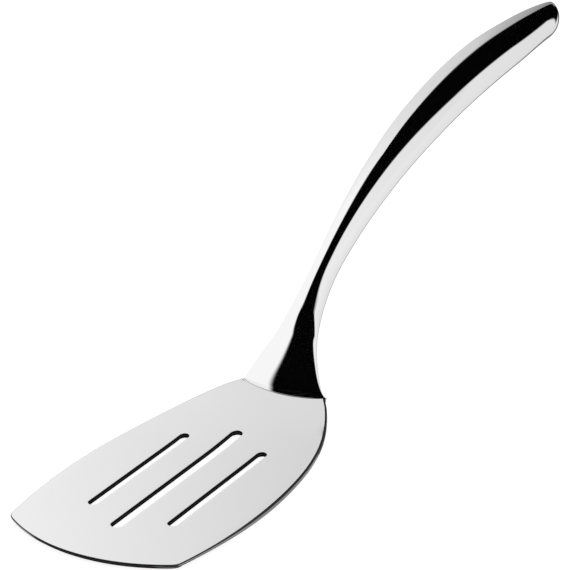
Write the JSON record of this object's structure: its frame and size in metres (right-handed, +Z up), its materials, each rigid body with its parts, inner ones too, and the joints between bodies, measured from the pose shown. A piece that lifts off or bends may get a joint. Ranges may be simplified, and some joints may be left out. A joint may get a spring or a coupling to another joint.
{
  "type": "slotted turner",
  "caption": "Slotted serving turner in polished steel: a thin slotted blade with a bowed front edge bends up at the heel into a slim, hollow, arched handle.",
  "frame": {"origin": "middle of the whole length and width, on the surface that the flat of the blade lies on", "axes": "+Z up, +Y from the blade's front edge towards the handle's tip, +X across the blade, to the right when looking along +Y"},
  "size_m": [0.082, 0.3514, 0.0934],
  "materials": {
    "polished_sheet": "polished",
    "polished_handle": "polished",
    "ground_weld": "polished"
  },
  "bodies": {
    "root": {"blade": "polished_sheet", "handle_upper_shell": "polished_handle", "handle_lower_shell": "polished_handle", "seam_weld_left": "ground_weld", "seam_weld_right": "ground_weld", "foot_weld_top": "ground_weld", "foot_weld_bottom": "ground_weld"}
  },
  "joints": []
}
